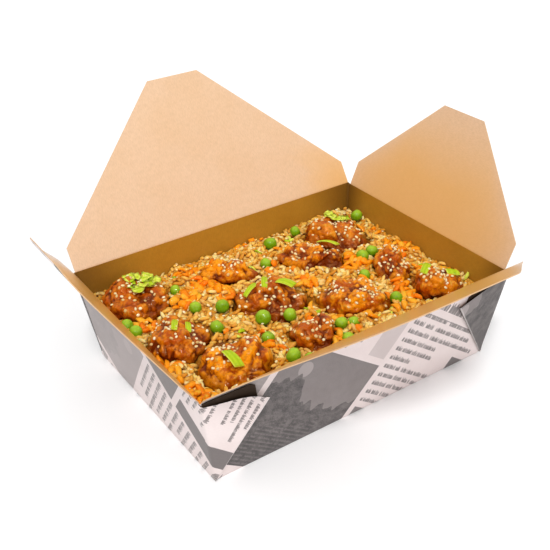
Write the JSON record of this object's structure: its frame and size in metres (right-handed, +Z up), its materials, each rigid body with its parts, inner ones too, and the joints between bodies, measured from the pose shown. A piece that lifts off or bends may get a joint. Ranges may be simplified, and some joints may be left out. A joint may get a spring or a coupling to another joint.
{
  "type": "filled takeaway meal box",
  "caption": "Open folded paperboard takeaway box with hinged lid flaps, filled with fried rice, glazed fried chicken pieces, peas and spring onion.",
  "frame": {"origin": "centre of the underside of the base", "axes": "+Z up, X along the long side of the box, -Y towards the front long side"},
  "size_m": [0.2873, 0.2884, 0.1493],
  "materials": {
    "kraft_board": "satin kraft paperboard, printed in pale grey on its outside",
    "kraft_flap": "satin kraft paperboard, printed in pale grey on its outside",
    "fried_rice": "loose oily cooked grains with shreds of carrot and sesame",
    "glazed_chicken": "crisp lumpy batter under a glossy amber glaze",
    "green_pea": "smooth cooked skin with a soft shine",
    "spring_onion": "moist fibrous cut leaf"
  },
  "bodies": {
    "box": {"tray": "kraft_board", "rice_bed": "fried_rice", "chicken_01": "glazed_chicken", "chicken_02": "glazed_chicken", "chicken_03": "glazed_chicken", "chicken_04": "glazed_chicken", "chicken_05": "glazed_chicken", "chicken_06": "glazed_chicken", "chicken_07": "glazed_chicken", "chicken_08": "glazed_chicken", "chicken_09": "glazed_chicken", "chicken_10": "glazed_chicken", "chicken_11": "glazed_chicken", "pea_01": "green_pea", "pea_02": "green_pea", "pea_03": "green_pea", "pea_04": "green_pea", "pea_05": "green_pea", "pea_06": "green_pea", "pea_07": "green_pea", "pea_08": "green_pea", "pea_09": "green_pea", "pea_10": "green_pea", "pea_11": "green_pea", "pea_12": "green_pea", "pea_13": "green_pea", "pea_14": "green_pea", "pea_15": "green_pea", "pea_16": "green_pea", "pea_17": "green_pea", "pea_18": "green_pea", "pea_19": "green_pea", "pea_20": "green_pea", "pea_21": "green_pea", "pea_22": "green_pea", "onion_01": "spring_onion", "onion_02": "spring_onion", "onion_03": "spring_onion", "onion_04": "spring_onion", "onion_05": "spring_onion", "onion_06": "spring_onion", "onion_07": "spring_onion", "onion_08": "spring_onion", "onion_09": "spring_onion"},
    "back_flap": {"flap_back": "kraft_flap"},
    "front_flap": {"flap_front": "kraft_flap"},
    "left_flap": {"flap_left": "kraft_flap"},
    "right_flap": {"flap_right": "kraft_flap"}
  },
  "joints": [
    {"name": "back_crease", "type": "hinge", "parent": "box", "child": "back_flap", "pos_m": [0, 0.07672, 0.06275], "axis": [1, 0, 0], "range_deg": [-57, 123]},
    {"name": "front_crease", "type": "hinge", "parent": "box", "child": "front_flap", "pos_m": [0, -0.07682, 0.06355], "axis": [-1, 0, 0], "range_deg": [-40.4, 139.6]},
    {"name": "left_crease", "type": "hinge", "parent": "box", "child": "left_flap", "pos_m": [-0.1071, 0, 0.06195], "axis": [0, 1, 0], "range_deg": [-57, 123]},
    {"name": "right_crease", "type": "hinge", "parent": "box", "child": "right_flap", "pos_m": [0.1071, 0, 0.06195], "axis": [0, -1, 0], "range_deg": [-65.7, 114.3]}
  ]
}
